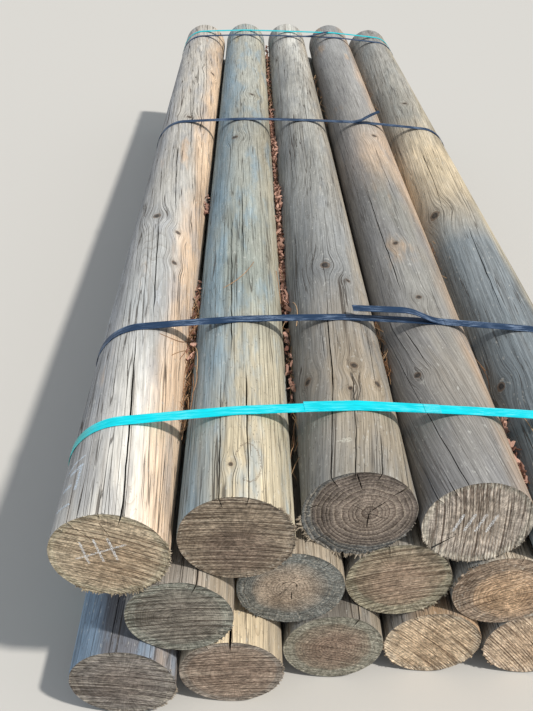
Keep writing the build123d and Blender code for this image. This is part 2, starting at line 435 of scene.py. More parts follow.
def makeChalkGroup():
    # one chalk stroke between two points of a sawn end
    inputs = {"Vector": "Place From To", "Float": "Width"}
    tree, given, out = startGroup("chalkStroke", inputs, {"Float": "Mask"})
    x, _, z = parts(given["Place"])
    flat = combine(x, 0.0, z)
    toPlace = vectorCalc("SUBTRACT", flat, given["From"])
    toEnd = vectorCalc("SUBTRACT", given["To"], given["From"])
    onward, whole = vectorCalc("DOT_PRODUCT", toPlace, toEnd), vectorCalc("DOT_PRODUCT", toEnd, toEnd)
    nearest = vectorCalc("SCALE", toEnd, calc("DIVIDE", onward, whole, clamp=True))
    apart = vectorCalc("DISTANCE", toPlace, nearest)
    body = stepAt(apart / given["Width"], 0.35, 0.62, 1.0, 0.0)
    grit = noiseAt(flat, 520.0, 3, 0.7)
    plug(body * stepAt(grit, 0.42, 0.58), out["Mask"])
    return tree


knotGroup = makeKnotGroup()
woodGroup = makeWoodGroup()
sawnGroup = makeSawnGroup()
chalkGroup = makeChalkGroup()


def arcStrokes(angle, along, wide, tall, width):
    # short strokes round most of an oval on a log: middle and reach in degrees and metres, width in mm
    points = []
    for degrees in range(-110, 190, 26):
        turn = math.radians(degrees)
        points.append((angle + wide * math.cos(turn), along + tall * math.sin(turn)))
    return [(*start, *stop, width) for start, stop in zip(points, points[1:])]


# The logs. Angles are degrees from the top of a log, positive to the right; lengths along it are from its
# front end. A lane is (angle, [(start, end, opening, depth), ...]): a line of drying checks, openings and
# depths in mm. turn lists (along, degrees) of the spiral grain. A knot is (angle, along, size in mm). tones
# lists the colour along the log; coolShare is how far its left side and its clouds take the cool colour. The
# cool left side and the warm right side are partly weathering, partly painted shade and painted sunlight. A
# fringe is (from angle, to angle, splinters, longest in mm). A crack is (x, z, x, z, opening, depth) in mm
# on the front end, and chalk lists strokes there as (x, z, x, z, width). scrawl lists strokes on the side:
# two (angle, along) places and a width in mm. sawTurn turns the saw marks, in degrees; sawPitch is a coarse
# groove in mm.
logBase = {
    "columns": 112, "rings": 96, "denser": 0.45, "sawCuts": 76, "crossCuts": 16,
    "turn": [(0.0, 0.0), (2.7, 25.0)], "lanes": [], "extraLanes": 7, "knots": [], "fringe": [], "cracks": [],
    "tones": [(0.0, (0.50, 0.43, 0.34)), (2.7, (0.36, 0.35, 0.31))],
    "cool": (0.30, 0.32, 0.33), "warm": (0.46, 0.38, 0.28), "patch": (0.50, 0.40, 0.28), "patchShare": 0.4,
    "coolShare": 0.8, "mottle": 1.3, "waves": 0.5, "stripes": 0.5, "hairlines": 0.8, "grime": 0.5,
    "fibres": 0.85, "scrawl": [], "scrawlTone": (0.8, 0.8, 0.8), "scrawlShare": 0.75,
    "heart": (0.33, 0.25, 0.19), "sap": (0.40, 0.33, 0.25), "rim": (0.33, 0.32, 0.26), "rimWidth": 0.14,
    "rimLean": (0.0, 0.0), "pith": (2, -3), "ringStep": 6.5, "ringDepth": 0.7, "star": 0.4, "stain": 0.5,
    "sawTurn": 90.0, "sawRate": 210.0, "sawDepth": 0.6, "sawRelief": 0.5, "sawPitch": 0.0, "chalk": [],
}
topBase = {"columns": 144, "rings": 190, "sawCuts": 110, "crossCuts": 26, "extraLanes": 8}
logLooks = {
    "log_top_1": {
        **topBase, "turn": [(0.0, 0.0), (1.2, -64.0), (2.7, -110.0)],
        "lanes": [
            (-39, [(0, 0.12, 1.6, 18), (0.5, 0.9, 1.0, 8)]),
            (-7, [(0, 0.1, 1.0, 14), (0.19, 0.82, 1.8, 14)]),
            (14.5, [(0, 0.41, 2.8, 26), (1.1, 1.6, 1.2, 9)]),
            (33, [(0.44, 0.85, 2.5, 16), (1.7, 2.2, 1.4, 9)]),
            (60, [(0.86, 1.3, 2.0, 14), (0, 0.08, 0.8, 10)]),
            (84, [(1.25, 1.8, 1.8, 12)]),
        ],
        "knots": [(-16, 0.86, 20), (23, 0.66, 12), (21, 0.79, 14), (4, 1.52, 18), (40, 2.05, 20)],
        "fringe": [(66, 118, 60, 5.5), (118, 215, 130, 6.5)],
        "cracks": [(-44, 52, -8, 16, 1.4, 2.0), (-10, 60, 6, 30, 1.2, 2.0)],
        "tones": [
            (0.0, (0.86, 0.83, 0.77)), (0.3, (0.66, 0.65, 0.62)), (0.5, (0.48, 0.50, 0.51)),
            (1.2, (0.57, 0.55, 0.51)), (2.7, (0.68, 0.64, 0.58)),
        ],
        "cool": (0.40, 0.42, 0.46), "warm": (0.94, 0.66, 0.43), "patch": (0.72, 0.55, 0.41),
        "patchShare": 0.4, "waves": 0.5, "stripes": 0.4, "hairlines": 1.0, "grime": 0.3, "fibres": 0.6,
        "scrawl": [
            (-62, 0.036, -43, 0.032, 4.5), (-58, 0.069, -48, 0.069, 7), (-51, 0.093, -38, 0.100, 7),
            (-60, 0.102, -47, 0.114, 4), (-47, 0.114, -37, 0.118, 3), (-38, 0.100, -39, 0.057, 5.5),
        ],
        "scrawlTone": (0.70, 0.83, 0.98), "scrawlShare": 0.95,
        "heart": (0.53, 0.40, 0.27), "sap": (0.60, 0.49, 0.35), "rim": (0.52, 0.46, 0.33),
        "sawTurn": 72.0, "sawRate": 220.0, "sawDepth": 0.7, "ringStep": 4.5, "ringDepth": 0.45,
        "pith": (8, -12), "star": 0.2, "stain": 0.35,
        "chalk": [
            (-36, 22, -26, -16, 3.6), (-18, 28, -7, -12, 3.2), (0, 31, 11, -8, 3.6), (-42, -9, 22, 21, 3.0),
        ],
    },
    "log_top_2": {
        **topBase, "turn": [(0.0, 0.0), (1.0, -13.0), (2.7, -30.0)],
        "lanes": [
            (-20, [(0, 0.27, 2.2, 22), (0.58, 0.9, 1.5, 10), (1.3, 1.7, 1.2, 8)]),
            (-8, [(0.3, 0.87, 2.6, 16), (1.2, 1.45, 1.8, 10)]),
            (9, [(0, 0.29, 2.2, 22), (0.62, 1.0, 2.2, 14)]),
            (41, [(0.08, 0.3, 1.3, 10), (1.0, 1.4, 1.2, 9)]),
        ],
        "knots": [(-9, 0.06, 8), (-20, 1.33, 20), (14, 1.72, 16)],
        "fringe": [(38, 75, 40, 8.0), (85, 140, 50, 5.0)],
        "tones": [
            (0.0, (0.68, 0.58, 0.41)), (0.3, (0.56, 0.51, 0.39)), (0.55, (0.355, 0.395, 0.365)),
            (1.3, (0.43, 0.44, 0.40)), (2.7, (0.52, 0.53, 0.48)),
        ],
        "cool": (0.265, 0.42, 0.55), "warm": (0.54, 0.49, 0.37), "patch": (0.60, 0.53, 0.37),
        "patchShare": 0.3, "waves": 0.35, "stripes": 0.35, "fibres": 0.65,
        "scrawl": arcStrokes(8.0, 0.066, 13.0, 0.037, 3.2), "scrawlTone": (0.27, 0.21, 0.15),
        "heart": (0.277, 0.210, 0.162), "sap": (0.333, 0.267, 0.20), "rim": (0.35, 0.286, 0.22),
        "sawTurn": 92.0, "sawRate": 235.0, "sawDepth": 0.7, "ringDepth": 0.35, "ringStep": 5.0,
        "pith": (6, -22),
    },
    "log_top_3": {
        **topBase, "turn": [(0.0, 0.0), (0.08, 7.0), (0.2, 15.0), (1.0, 36.0), (2.7, 55.0)],
        "lanes": [
            (-51, [(0.45, 0.7, 1.1, 9)]),
            (-37, [(0, 0.42, 2.6, 25), (1.4, 1.9, 1.2, 9)]),
            (-14, [(0, 0.26, 1.4, 20), (0.9, 1.2, 1.0, 8)]),
            (13, [(0, 0.11, 1.7, 18), (0.16, 0.44, 1.6, 12)]),
            (46, [(0, 0.13, 4.6, 31)]),
            (-137, [(0, 0.1, 2.6, 34)]),
            (-92, [(0, 0.08, 1.4, 14)]),
        ],
        "knots": [
            (5, 0.24, 15), (-4, 0.18, 9), (32, 0.21, 14), (-52, 0.23, 16), (-9, 0.57, 22), (20, 0.52, 11),
        ],
        "fringe": [(-200, -98, 260, 13.0), (-98, -60, 20, 3.5), (100, 160, 40, 4.0)],
        "cracks": [
            (14, 4, 38, 32, 2.4, 2.5), (13, 1, 14, -35, 2.2, 2.0), (13, 1, 44, -12, 1.6, 1.5),
            (13, 1, -20, 20, 1.4, 1.5), (-15, 75, -2, 41, 2.6, 3.0), (-72, 3, -55, 16, 2.2, 2.0),
        ],
        "tones": [
            (0.0, (0.47, 0.42, 0.34)), (0.2, (0.49, 0.41, 0.31)), (0.55, (0.285, 0.295, 0.30)),
            (1.3, (0.48, 0.48, 0.45)), (2.7, (0.78, 0.77, 0.72)),
        ],
        "scrawl": [(-26, 0.066, -18, 0.065, 2.5), (-19, 0.065, -14, 0.064, 9)],
        "scrawlTone": (0.74, 0.72, 0.62),
        "cool": (0.30, 0.32, 0.34), "warm": (0.42, 0.36, 0.28), "patch": (0.50, 0.40, 0.29),
        "patchShare": 0.3, "waves": 0.5, "stripes": 0.35, "hairlines": 0.9, "fibres": 0.65,
        "heart": (0.32, 0.262, 0.22), "sap": (0.20, 0.168, 0.148), "rim": (0.168, 0.185, 0.192),
        "ringStep": 7.0, "ringDepth": 0.88, "sawDepth": 0.12, "sawRelief": 0.25, "star": 0.9,
        "pith": (13, 1), "rimWidth": 0.10, "rimLean": (-0.10, -0.10),
    },
    "log_top_4": {
        **topBase, "turn": [(0.0, 0.0), (0.42, -50.0), (2.7, -74.0)],
        "lanes": [
            (-57, [(0, 0.1, 2.0, 17)]),
            (-38, [(0, 0.06, 2.0, 34)]),
            (6, [(0.24, 0.43, 1.3, 10), (1.2, 1.6, 1.2, 8)]),
            (20, [(0.5, 1.0, 2.0, 13)]),
            (31, [(0.04, 0.15, 1.1, 9)]),
            (61, [(0.4, 0.55, 1.1, 8), (0.9, 1.3, 1.3, 8)]),
            (-134, [(0, 0.5, 4.8, 54)]),
        ],
        "knots": [(-18, 0.70, 14), (-11, 0.48, 12), (-41, 0.26, 14), (10, 1.35, 18)],
        "fringe": [(-250, -108, 260, 4.5)],
        "tones": [
            (0.0, (0.32, 0.315, 0.31)), (0.25, (0.37, 0.345, 0.31)), (0.5, (0.355, 0.35, 0.33)),
            (0.95, (0.335, 0.33, 0.305)), (1.22, (0.64, 0.50, 0.38)), (1.5, (0.41, 0.40, 0.385)),
            (2.7, (0.41, 0.42, 0.425)),
        ],
        "cool": (0.31, 0.31, 0.32), "warm": (0.64, 0.46, 0.32), "patch": (0.56, 0.42, 0.30),
        "patchShare": 0.4, "waves": 0.2, "stripes": 0.2, "hairlines": 0.4, "grime": 0.3, "mottle": 1.1,
        "fibres": 0.6, "heart": (0.54, 0.467, 0.394), "sap": (0.60, 0.53, 0.463), "rim": (0.60, 0.56, 0.48),
        "sawTurn": 8.0, "sawRate": 175.0, "sawDepth": 0.8, "sawRelief": 0.7, "sawPitch": 4.6,
        "ringDepth": 0.1, "star": 0.1, "stain": 0.3, "pith": (0, 0),
        "chalk": [
            (-24, 14, -32, -18, 4.5), (-8, 16, -16, -16, 4.5), (8, 16, 0, -16, 4.5), (24, 16, 16, -16, 4.5),
        ],
    },
    "log_top_5": {
        **topBase, "turn": [(0.0, 0.0), (2.7, 80.0)],
        "lanes": [
            (-31, [(0.44, 0.84, 1.8, 12)]),
            (-10, [(0.0, 0.2, 1.8, 18), (1.2, 1.6, 1.4, 9)]),
            (-58, [(0.9, 1.3, 1.3, 9)]),
        ],
        "knots": [(-47, 0.92, 30), (-57, 0.28, 18), (-8, 1.7, 16)],
        "tones": [
            (0.0, (0.24, 0.28, 0.31)), (0.76, (0.26, 0.29, 0.31)), (1.02, (0.70, 0.59, 0.43)),
            (1.15, (0.86, 0.72, 0.51)), (1.3, (0.82, 0.68, 0.48)), (1.6, (0.42, 0.40, 0.35)),
            (2.7, (0.36, 0.36, 0.35)),
        ],
        "cool": (0.21, 0.27, 0.31), "warm": (0.56, 0.48, 0.34), "patch": (0.60, 0.49, 0.34),
        "patchShare": 0.2, "coolShare": 0.3, "waves": 0.25, "stripes": 0.3, "hairlines": 0.7, "grime": 0.35,
    },
    "log_middle_1": {
        "lanes": [(17, [(0, 0.5, 2.6, 30)]), (-40, [(0, 0.2, 1.2, 12)])],
        "tones": [(0.0, (0.43, 0.39, 0.345)), (2.7, (0.36, 0.35, 0.31))],
        "fringe": [(100, 140, 30, 4.0)],
        "heart": (0.275, 0.25, 0.213), "sap": (0.29, 0.277, 0.238), "rim": (0.32, 0.335, 0.29),
        "rimWidth": 0.2, "sawTurn": 98.0, "sawDepth": 0.75, "ringDepth": 0.5, "ringStep": 4.0,
    },
    "log_middle_2": {
        "lanes": [(38, [(0, 0.3, 1.6, 18)]), (-150, [(0, 0.2, 1.6, 20)])],
        "cracks": [
            (-2, 16, 8, 10, 2.6, 3), (8, 10, 9, 2, 2.6, 3), (-14, 9, -4, 16, 2.6, 3), (2, -8, 4, -30, 1.8, 2),
        ],
        "fringe": [(110, 240, 90, 5.0)],
        "heart": (0.53, 0.427, 0.332), "sap": (0.256, 0.26, 0.244), "rim": (0.224, 0.242, 0.235),
        "sawTurn": 80.0, "sawDepth": 0.25, "ringDepth": 0.6, "ringStep": 3.6, "pith": (-6, 0), "star": 0.8,
        "rimWidth": 0.3,
    },
    "log_middle_3": {
        "lanes": [(-20, [(0, 0.3, 1.2, 14)]), (70, [(0, 0.2, 1.4, 14)])],
        "fringe": [(80, 150, 60, 6.5)],
        "heart": (0.48, 0.355, 0.26), "sap": (0.40, 0.325, 0.235), "rim": (0.44, 0.41, 0.30),
        "sawTurn": 108.0, "sawDepth": 0.75, "ringDepth": 0.3, "sawRelief": 0.6, "rimWidth": 0.18,
        "rimLean": (0.0, -0.12),
    },
    "log_middle_4": {
        "lanes": [(8, [(0, 0.3, 1.4, 16)])],
        "fringe": [(-90, -40, 40, 5.0)],
        "heart": (0.79, 0.54, 0.34), "sap": (0.57, 0.41, 0.285), "rim": (0.40, 0.305, 0.23),
        "sawTurn": 120.0, "sawDepth": 0.65, "ringDepth": 0.75, "ringStep": 5.0, "pith": (6, -8), "stain": 0.7,
        "rimWidth": 0.3, "rimLean": (-0.25, 0.1),
    },
    "log_bottom_1": {
        "lanes": [(-12, [(0, 0.3, 1.4, 14)])],
        "fringe": [(95, 150, 80, 8.0), (60, 95, 20, 4.0)],
        # the near tone is darkened to a painted shadow of the logs above, and cool is a painted bluish sky
        # shade on the left flank
        "tones": [(0.0, (0.18, 0.185, 0.21)), (2.7, (0.34, 0.35, 0.34))],
        "cool": (0.32, 0.48, 0.68), "warm": (0.42, 0.35, 0.30), "patchShare": 0.1,
        "heart": (0.28, 0.242, 0.216), "sap": (0.302, 0.275, 0.253), "rim": (0.31, 0.285, 0.255),
        "stripes": 0.25, "fibres": 0.6, "sawTurn": 86.0, "sawDepth": 0.8, "ringDepth": 0.35,
    },
    "log_bottom_2": {
        "lanes": [(-4, [(0, 0.4, 3.8, 26)])],
        "fringe": [(60, 130, 50, 5.0)],
        "tones": [(0.0, (0.98, 0.82, 0.58)), (2.7, (0.40, 0.37, 0.32))],
        "patch": (0.86, 0.70, 0.50), "coolShare": 0.4, "stripes": 0.25, "fibres": 0.6,
        "heart": (0.40, 0.30, 0.232), "sap": (0.43, 0.335, 0.266), "rim": (0.35, 0.31, 0.27),
        "sawTurn": 98.0, "sawDepth": 0.75, "ringDepth": 0.4,
    },
    "log_bottom_3": {
        "lanes": [(24, [(0, 0.4, 2.0, 26)])],
        # the near tone is darkened partly as a painted shadow of the middle row
        "tones": [(0.0, (0.23, 0.21, 0.185)), (2.7, (0.36, 0.35, 0.31))],
        "heart": (0.35, 0.255, 0.194), "sap": (0.345, 0.30, 0.235), "rim": (0.345, 0.345, 0.285),
        "rimWidth": 0.25, "sawTurn": 80.0, "sawDepth": 0.45, "ringDepth": 0.6, "ringStep": 5.0, "star": 0.7,
    },
    "log_bottom_4": {
        "lanes": [(-30, [(0, 0.3, 1.2, 12)])],
        "fringe": [(-140, -90, 40, 5.0), (95, 140, 30, 4.0)],
        "tones": [(0.0, (0.46, 0.325, 0.21)), (2.7, (0.40, 0.36, 0.31))], "warm": (0.56, 0.38, 0.24),
        "heart": (0.79, 0.60, 0.41), "sap": (0.84, 0.66, 0.466), "rim": (0.70, 0.583, 0.44),
        "sawTurn": 48.0, "sawRate": 175.0, "sawDepth": 0.75, "sawRelief": 0.6, "sawPitch": 4.4,
        "ringDepth": 0.15,
    },
    "log_bottom_5": {
        "fringe": [(-140, -95, 40, 5.0)],
        "heart": (0.785, 0.593, 0.42), "sap": (0.824, 0.65, 0.476), "rim": (0.70, 0.567, 0.44),
        "sawTurn": 42.0, "sawRate": 175.0, "sawDepth": 0.75, "sawRelief": 0.6, "sawPitch": 4.8,
        "ringDepth": 0.15,
    },
}
logForm = {
    "length": 2.7,
    "closed": 0.0002,  # width of a check where it is shut
    "wander": 2.0, "waver": 0.8,  # degrees that a check strays from its lane
    "fade": 0.08,  # length over which a check opens
    # the painted shade in a check is full at this depth
    "darkAt": 0.006,  # depth at which a check is fully dark
    "laneApart": 5,  # columns of faces, at least
    "hollow": 0.0007, "knotSwell": 0.0011, "knotPit": 0.0016,
    "wornEdge": 0.0006, "edgeStep": 0.0014,
    "sawWave": 0.0006, "sawGroove": 0.0006,
    "sharp": 36.0,
}
# drying checks in the free stretches round a log: metres along it, opening and depth in mm
quietChecks = {
    "first": (-0.2, 0.4), "length": (0.25, 0.7), "apart": (0.15, 0.6),
    "opening": (0.7, 1.9), "depth": (6, 13),
}


def logEnds(name):
    # middle, radius and facing of both sawn ends, read from the CAD node
    points = {tuple(round(c, 6) for c in v.co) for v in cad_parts[name].data.vertices}
    points = [Vector(p) for p in points]
    halfway = sum(p.y for p in points) / len(points)
    ends = []
    for rim in ([p for p in points if p.y < halfway], [p for p in points if p.y > halfway]):
        middle = sum(rim, Vector()) / len(rim)
        rim.sort(key=lambda p: math.atan2(p.x - middle.x, p.z - middle.z))
        third = len(rim) // 3
        facing = (rim[third] - rim[0]).cross(rim[2 * third] - rim[0]).normalized()
        radius = sum((p - middle).length for p in rim) / len(rim)
        ends.append((middle, radius, facing * (1 if facing.y > 0 else -1)))
    return ends


ends = {name: logEnds(name) for name in logLooks}


def circleAt(name, y):
    # a log's axis and radius at y: x, z, radius
    (front, frontRadius, _), (back, backRadius, _) = ends[name]
    share = (y - front.y) / (back.y - front.y)
    middle = front.lerp(back, share)
    return middle.x, middle.z, frontRadius + (backRadius - frontRadius) * share


def alongPoints(points, along):
    # value of a chain of (along, value) points
    for (a0, v0), (a1, v1) in zip(points, points[1:]):
        if along <= a1:
            return v0 + (v1 - v0) * max(along - a0, 0) / (a1 - a0)
    return points[-1][1]


def smooth(value):
    value = min(max(value, 0.0), 1.0)
    return value * value * (3 - 2 * value)


def spreadLanes(look, rng):
    # the named lanes, and quieter ones in the free stretches round the log
    lanes = [{"angle": angle, "spans": spans} for angle, spans in look["lanes"]]
    columns = look["columns"]
    for lane in lanes:
        lane["column"] = round((lane["angle"] + 180) / 360 * columns)
    for _ in range(look["extraLanes"]):
        column = rng.randrange(3, columns - 3)
        if all(abs(column - lane["column"]) >= logForm["laneApart"] for lane in lanes):
            spans = []
            start = rng.uniform(*quietChecks["first"])
            while start < logForm["length"]:
                end = start + rng.uniform(*quietChecks["length"])
                opening = rng.uniform(*quietChecks["opening"])
                spans.append((start, end, opening, rng.uniform(*quietChecks["depth"])))
                start = end + rng.uniform(*quietChecks["apart"])
            lanes.append({"angle": column / columns * 360 - 180, "spans": spans, "column": column})
    lanes.sort(key=lambda lane: lane["column"])
    for lane in lanes:
        lane["seed"] = rng.uniform(0, 50)
    return lanes


def laneOpening(lane, along):
    # opening and depth of a lane's check at one place
    for start, end, opening, depth in lane["spans"]:
        if start - 1e-6 <= along <= end + 1e-6:
            fadeIn = 1.0 if start <= 0 else smooth((along - start) / logForm["fade"])
            fadeOut = 1.0 if end >= logForm["length"] else smooth((end - along) / logForm["fade"])
            uneven = 0.85 + 0.4 * noise.noise(Vector((along * 14, lane["seed"], 3)))
            share = fadeIn * fadeOut * uneven
            return opening * mm * share, depth * mm * share
    return 0.0, 0.0


def ringColumns(look, lanes, along, radius):
    # angle and depth of every column at one place along the log
    columns = look["columns"]
    anchors = []
    for lane in lanes:
        opening, depth = laneOpening(lane, along)
        middle = lane["angle"] + logForm["wander"] * noise.noise(Vector((along * 5, lane["seed"], 0)))
        middle += logForm["waver"] * noise.noise(Vector((along * 32, lane["seed"], 8)))
        half = math.degrees((logForm["closed"] + opening) / 2 / radius)
        for step, lying in ((-1, 0.0), (0, depth), (1, 0.0)):
            anchors.append((lane["column"] + step, middle + half * step, lying))
    anchors.append((anchors[0][0] + columns, anchors[0][1] + 360, 0.0))
    row = [None] * columns
    for (c0, a0, d0), (c1, a1, _) in zip(anchors, anchors[1:]):
        for column in range(c0, c1):
            share = (column - c0) / (c1 - c0)
            row[column % columns] = (a0 + (a1 - a0) * share, d0 if column == c0 else 0.0)
    return row


def surfaceDip(look, angle, along, radius, seed):
    # how far the peeled face lies under the full round: broad hollows, tool facets and knots
    a = math.radians(angle)
    broad = noise.noise(Vector((math.sin(a) * 1.6, along * 2.4, math.cos(a) * 1.6 + seed)))
    facet = noise.noise(Vector((math.sin(a) * 5, along * 7, math.cos(a) * 5 + seed)))
    dip = logForm["hollow"] * (1.1 + broad * 1.2 + facet * 0.6)
    for knotAngle, knotAlong, size in look["knots"]:
        offAngle = (angle + alongPoints(look["turn"], along) - knotAngle + 180) % 360 - 180
        off = math.radians(offAngle) * radius
        share = math.hypot(off, (along - knotAlong) * 0.6) / (size * mm)
        if share < 3:
            dip -= logForm["knotSwell"] * math.exp(-share * share)
            dip += logForm["knotPit"] * math.exp(-share * share * 9)
    return max(dip, 0.0)


def cutEnd(bm, face, look, end, outward, rng, cracks):
    # a sawn end: cut into fine strips along the saw's way, each strip line a little deeper or shallower
    crackDepth = bm.verts.layers.float["crackDepth"]
    middle, radius, facing = end
    up = Vector((0, 0, 1))
    up = (up - facing * up.dot(facing)).normalized()
    side = up.cross(facing).normalized()
    if side.x < 0:
        side = -side
    geometry = [face, *face.edges, *face.verts]

    def cutAt(point, normal):
        nonlocal geometry
        cut = bmesh.ops.bisect_plane(bm, geom=geometry, dist=1e-6, plane_co=point, plane_no=normal)
        geometry = cut["geom"]

    creases = []
    for x0, z0, x1, z1, opening, depth in cracks:
        start = middle + side * x0 * mm + up * z0 * mm
        stop = middle + side * x1 * mm + up * z1 * mm
        along = (stop - start).normalized()
        across = facing.cross(along).normalized()
        for shift in (-0.5, 0.0, 0.5):
            cutAt(start + across * shift * opening * mm, across)
        creases.append((start, along, across, (stop - start).length, depth * mm))
    turn = math.radians(look["sawTurn"] - (0 if outward.y < 0 else look["turn"][-1][1]))
    across = side * math.cos(turn) + up * math.sin(turn)
    beside = facing.cross(across).normalized()
    sawCuts = look["sawCuts"]
    for direction, cuts in ((beside, look["crossCuts"]), (across, sawCuts)):
        for k in range(cuts):
            cutAt(middle + direction * radius * (2 * (k + 0.5) / cuts - 1), direction)
    levels = []
    level = 0.0
    for _ in range(sawCuts + 1):
        level = 0.35 * level + rng.uniform(-1, 1)
        levels.append(level)
    inner = [item for item in geometry if isinstance(item, bmesh.types.BMVert)]
    inner = [v for v in inner if all(f.material_index == 1 for f in v.link_faces)]
    for vert in inner:
        off = vert.co - middle
        k = min(max(int((off.dot(across) / radius + 1) / 2 * sawCuts), 0), sawCuts)
        ripple = noise.noise(Vector((off.dot(beside) * 14, k * 0.37, radius)))
        depth = look["sawRelief"] * mm * (0.5 + 0.32 * levels[k] + 0.3 * ripple)
        if look["sawPitch"]:
            phase = off.dot(across) / look["sawPitch"] / mm
            depth += logForm["sawGroove"] * (0.5 + 0.5 * math.sin(math.tau * phase))
        depth += logForm["sawWave"] * (1 + noise.noise(off * 22))
        for start, along, crossing, length, deep in creases:
            away = vert.co - start
            on = away.dot(along)
            if abs(away.dot(crossing)) < 2e-5 and 0 < on < length:
                share = math.sin(math.pi * min(on / length + 0.12, 1))
                depth += deep * share
                # a crack's depth, read by the end's material for its painted shade
                vert[crackDepth] = share
        vert.co -= outward * max(depth, 0.0)


def waysAt(angle):
    # outward and sideways at an angle from the top of a log
    return Vector((math.sin(angle), 0, math.cos(angle))), Vector((math.cos(angle), 0, -math.sin(angle)))


fringeForm = {
    "rooted": 0.0012,  # under the log's face
    "standOut": 0.0025,
    "thick": 0.0007, "tip": 0.0001,
    "clearFront": 0.0002, "clearGround": 0.0003,
}


def addFringe(bm, look, end, rng):
    # torn fibres left standing at the saw's exit, kept inside the CAD box
    middle, radius, facing = end
    made = []
    for low, high, count, longest in look["fringe"]:
        for _ in range(count):
            angle = math.radians(rng.uniform(low, high))
            outward, aside = waysAt(angle)
            length = longest * mm * (0.25 + 0.75 * rng.random() ** 1.6)
            root = middle + outward * (radius - fringeForm["rooted"])
            root.y -= (facing.x * (root.x - middle.x) + facing.z * (root.z - middle.z)) / facing.y
            root.y += rng.uniform(0.0, fringeForm["standOut"])
            lean = outward * rng.uniform(0.5, 1) + aside * rng.uniform(-0.7, 0.7)
            lean = (lean - Vector((0, rng.uniform(-0.1, 0.6), 0))).normalized()
            turned = lean.to_track_quat("Z", "Y").to_matrix().to_4x4()
            thick = fringeForm["thick"] + length * rng.uniform(0.14, 0.32)
            cone = bmesh.ops.create_cone(
                bm, cap_ends=True, cap_tris=False, segments=4, radius1=thick, radius2=fringeForm["tip"],
                depth=length, matrix=Matrix.Translation(root + lean * length / 2) @ turned,
            )
            made += cone["verts"]
    for vert in made:
        vert.co.y = max(vert.co.y, cadBox[0].y + fringeForm["clearFront"])
        vert.co.z = max(vert.co.z, cadBox[0].z + fringeForm["clearGround"])
    return made


def buildLog(name, look, seed):
    rng = random.Random(seed)
    columns, rings, denser, length = look["columns"], look["rings"], look["denser"], logForm["length"]
    front, back = ends[name]
    lanes = spreadLanes(look, rng)
    bm = bmesh.new()
    bmesh.ops.create_cone(bm, cap_ends=True, cap_tris=False, segments=columns, radius1=1, radius2=1, depth=1)
    sides = [edge for edge in bm.edges if edge.verts[0].co.z * edge.verts[1].co.z < 0]
    bmesh.ops.subdivide_edges(bm, edges=sides, cuts=rings - 1, use_grid_fill=True)
    space = bm.verts.layers.float_vector.new("logSpace")
    slit = bm.verts.layers.float.new("checkDepth")
    roundWay = bm.verts.layers.float_vector.new("roundWay")
    bm.verts.layers.float.new("crackDepth")
    edgeStep = logForm["edgeStep"]
    alongs = [0.0, edgeStep]
    for k in range(1, rings - 2):
        share = k / (rings - 1)
        alongs.append(edgeStep + (length - 2 * edgeStep) * (share * denser + share * share * (1 - denser)))
    alongs += [length - edgeStep, length]
    rows = []
    for along in alongs:
        radius = front[1] + (back[1] - front[1]) * along / length
        rows.append(ringColumns(look, lanes, along, radius))
    for face in bm.faces:
        face.smooth = True
        face.material_index = 1 if len(face.verts) == columns else 0
    for vert in bm.verts:
        around = math.atan2(vert.co.x, vert.co.y)
        column = round((around / math.tau + 0.5) * columns) % columns
        ring = round((0.5 - vert.co.z) * rings)
        along = alongs[ring]
        share = along / length
        angle, depth = rows[ring][column]
        full = front[1] + (back[1] - front[1]) * share
        dip = surfaceDip(look, angle, along, full, seed)
        if ring in (0, rings):
            dip += logForm["wornEdge"]
        radius = full - dip - depth
        turned = math.radians(angle + alongPoints(look["turn"], along))
        middle = front[0].lerp(back[0], share)
        x, z = middle.x + radius * math.sin(turned), middle.z + radius * math.cos(turned)
        y = 0.0
        for (centre, _, facing), weight in ((front, 1 - share), (back, share)):
            y += weight * (centre.y - (facing.x * (x - centre.x) + facing.z * (z - centre.z)) / facing.y)
        if 0 < ring < rings:
            y += along - length * share
        vert.co = (x, y, z)
        # a check's depth, read by the side's material for its painted shade
        vert[slit] = min(depth / logForm["darkAt"], 1.0)
    bm.normal_update()
    for end, outward, cracks in ((front, -front[2], look["cracks"]), (back, back[2], [])):
        whole = [face for face in bm.faces if face.material_index == 1 and len(face.verts) == columns]
        face = next(face for face in whole if face.calc_center_median().y * outward.y > 0)
        cutEnd(bm, face, look, end, outward, rng, cracks)
    fringe = addFringe(bm, look, front, rng)
    for vert in fringe:
        for face in vert.link_faces:
            face.material_index = 1
    for vert in bm.verts:
        share = (vert.co.y - front[0].y) / (back[0].y - front[0].y)
        middle = front[0].lerp(back[0], share)
        off = vert.co - middle
        turn = -math.radians(alongPoints(look["turn"], share * length))
        x = off.x * math.cos(turn) + off.z * math.sin(turn)
        z = off.z * math.cos(turn) - off.x * math.sin(turn)
        vert[space] = (x, share * length, z)
        vert[roundWay] = Vector((off.x, 0, off.z)).normalized()
    return finishPiece(bm, name + "_wood", [woodSide(name, look, seed), woodEnd(name, look, seed)])


def finishPiece(bm, pieceName, materials, sharp=logForm["sharp"]):
    mesh = bpy.data.meshes.new(pieceName)
    bm.to_mesh(mesh)
    bm.free()
    mesh.set_sharp_from_angle(angle=math.radians(sharp))
    for material in materials:
        mesh.materials.append(material)
    piece = addObject(pieceName, mesh)
    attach(piece, "root")
    return piece


def startMaterial(name):
    material = bpy.data.materials.new(name)
    material.use_nodes = True
    shader = material.node_tree.nodes["Principled BSDF"]
    shader.inputs["Specular IOR Level"].default_value = 0.25
    return material, material.node_tree, shader


def addBump(shader, height, distance, strength=1.0):
    bump = addNode("Bump", (height, distance, strength), "Height", "Distance", "Strength")
    plug(Wire(bump.outputs[0]), shader.inputs["Normal"])


def ownValues(look, names):
    # a look's own values, for the group inputs that carry their names
    values = {name: look[name[0].lower() + name[1:]] for name in names.split()}
    return {name: (*value, 1) if isinstance(value, tuple) else value for name, value in values.items()}


